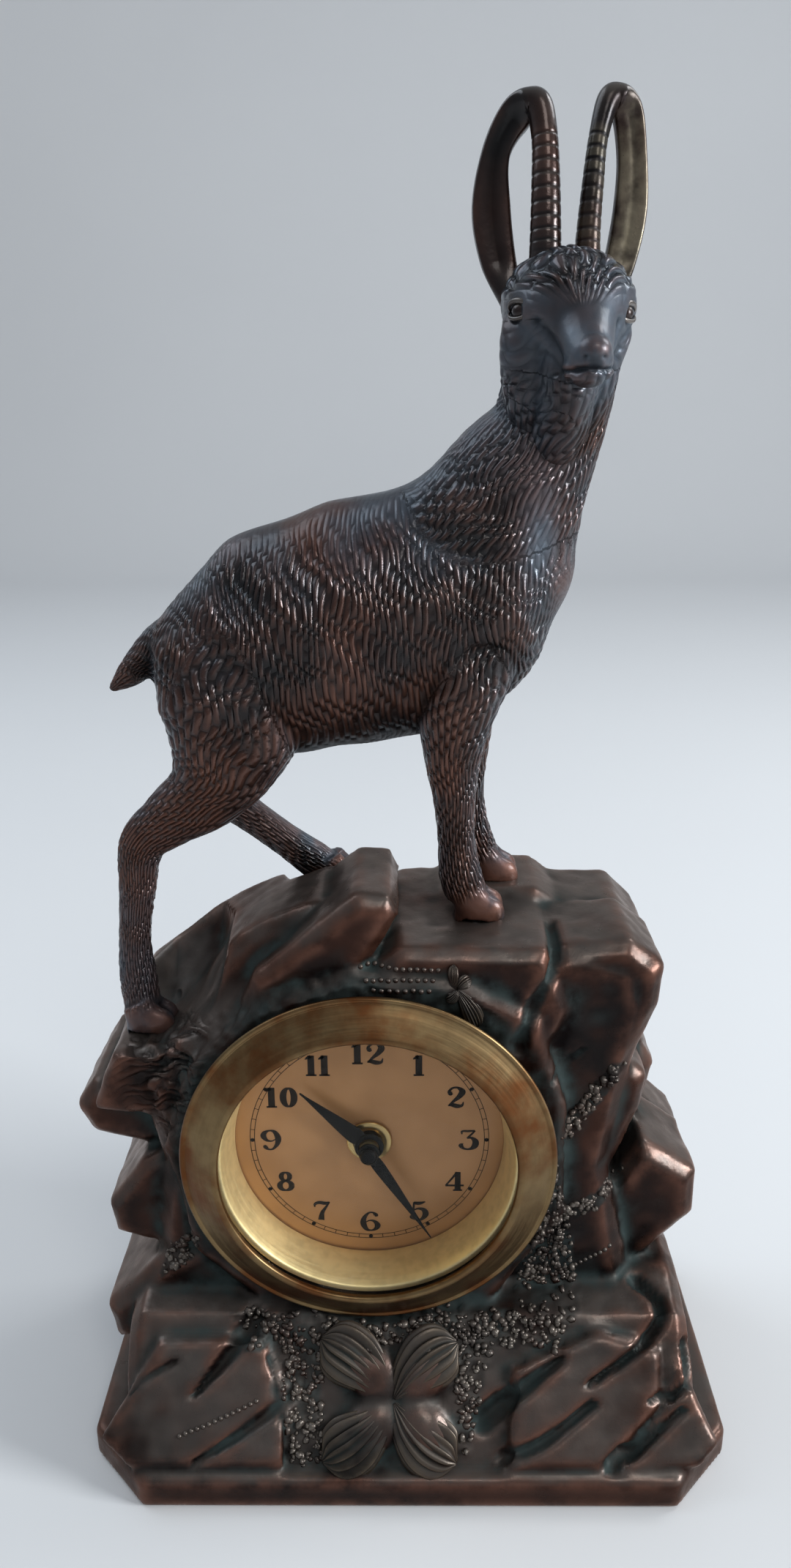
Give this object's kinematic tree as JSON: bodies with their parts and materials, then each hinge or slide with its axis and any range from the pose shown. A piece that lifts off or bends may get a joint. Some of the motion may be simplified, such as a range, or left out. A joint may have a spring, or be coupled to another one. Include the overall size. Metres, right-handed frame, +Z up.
{
  "type": "desk clock",
  "caption": "Figural wind-up desk clock: a cast chamois standing on tilted rock above a round brass-bezelled dial, with turning hands, setting knob and winding key",
  "frame": {"origin": "middle of the underside of the base", "axes": "+Z up, the dial looks along -Y, +X to the right of someone reading the dial"},
  "size_m": [0.1545, 0.09, 0.297],
  "materials": {
    "bronze": "brown bronze patina over cast metal, worn to copper on edges",
    "brass": "brushed, darkened with age",
    "gilt": "bright lacquered",
    "dial": "matt gold paint",
    "black": "black paint",
    "steel": "plain",
    "tin": "tinned sheet, dull",
    "glass": "clear, slightly domed"
  },
  "bodies": {
    "clock": {"rock_casting": "bronze", "chamois_casting": "bronze", "left_horn": "bronze", "right_horn": "bronze", "fore_hoof_stud": "steel", "fore_hoof_washer": "steel", "fore_hoof_nut": "steel", "hind_hoof_stud": "steel", "hind_hoof_washer": "steel", "hind_hoof_nut": "steel", "base_cover": "tin", "base_screw_1": "steel", "base_screw_2": "steel", "base_screw_3": "steel", "base_screw_4": "steel", "bezel": "brass", "glass": "glass", "reflector_ring": "gilt", "drum_case": "tin", "back_cover": "tin", "dial": "dial", "dial_eyelet": "brass", "front_plate": "brass", "back_plate": "brass", "plate_pillar_1": "brass", "plate_pillar_2": "brass", "plate_pillar_3": "brass", "plate_pillar_4": "brass", "case_post_1": "brass", "case_post_2": "brass", "case_screw_1": "steel", "case_screw_2": "steel"},
    "minute_hand": {"centre_arbor": "steel", "minute_hand": "black", "hand_nut": "black", "setting_knob": "brass"},
    "minute_wheel": {"minute_wheel": "brass"},
    "hour_hand": {"hour_wheel": "brass", "hour_hand": "black"},
    "barrel": {"mainspring_barrel": "brass", "barrel_cap": "brass", "mainspring": "steel"},
    "winding_key": {"winding_arbor": "steel", "winding_key": "brass"}
  },
  "joints": [
    {"name": "minute_hand_turn", "type": "hinge", "parent": "clock", "child": "minute_hand", "pos_m": [-0.009, 0, 0.0775], "axis": [0, 1, 0], "continuous": true},
    {"name": "minute_wheel_turn", "type": "hinge", "parent": "clock", "child": "minute_wheel", "pos_m": [0.00002, 0, 0.08078], "axis": [0, 1, 0], "continuous": true},
    {"name": "hour_hand_turn", "type": "hinge", "parent": "clock", "child": "hour_hand", "pos_m": [-0.009, 0, 0.0775], "axis": [0, 1, 0], "continuous": true},
    {"name": "barrel_turn", "type": "hinge", "parent": "clock", "child": "barrel", "pos_m": [-0.02264, 0, 0.06963], "axis": [0, 1, 0], "continuous": true},
    {"name": "winding_key_turn", "type": "hinge", "parent": "clock", "child": "winding_key", "pos_m": [-0.02264, 0, 0.06963], "axis": [0, 1, 0], "continuous": true}
  ],
  "couplings": [
    {"joint": "minute_wheel_turn", "follows": "minute_hand_turn", "ratio": -0.33333},
    {"joint": "hour_hand_turn", "follows": "minute_hand_turn", "ratio": 0.083333},
    {"joint": "barrel_turn", "follows": "minute_hand_turn", "ratio": -0.16667}
  ]
}
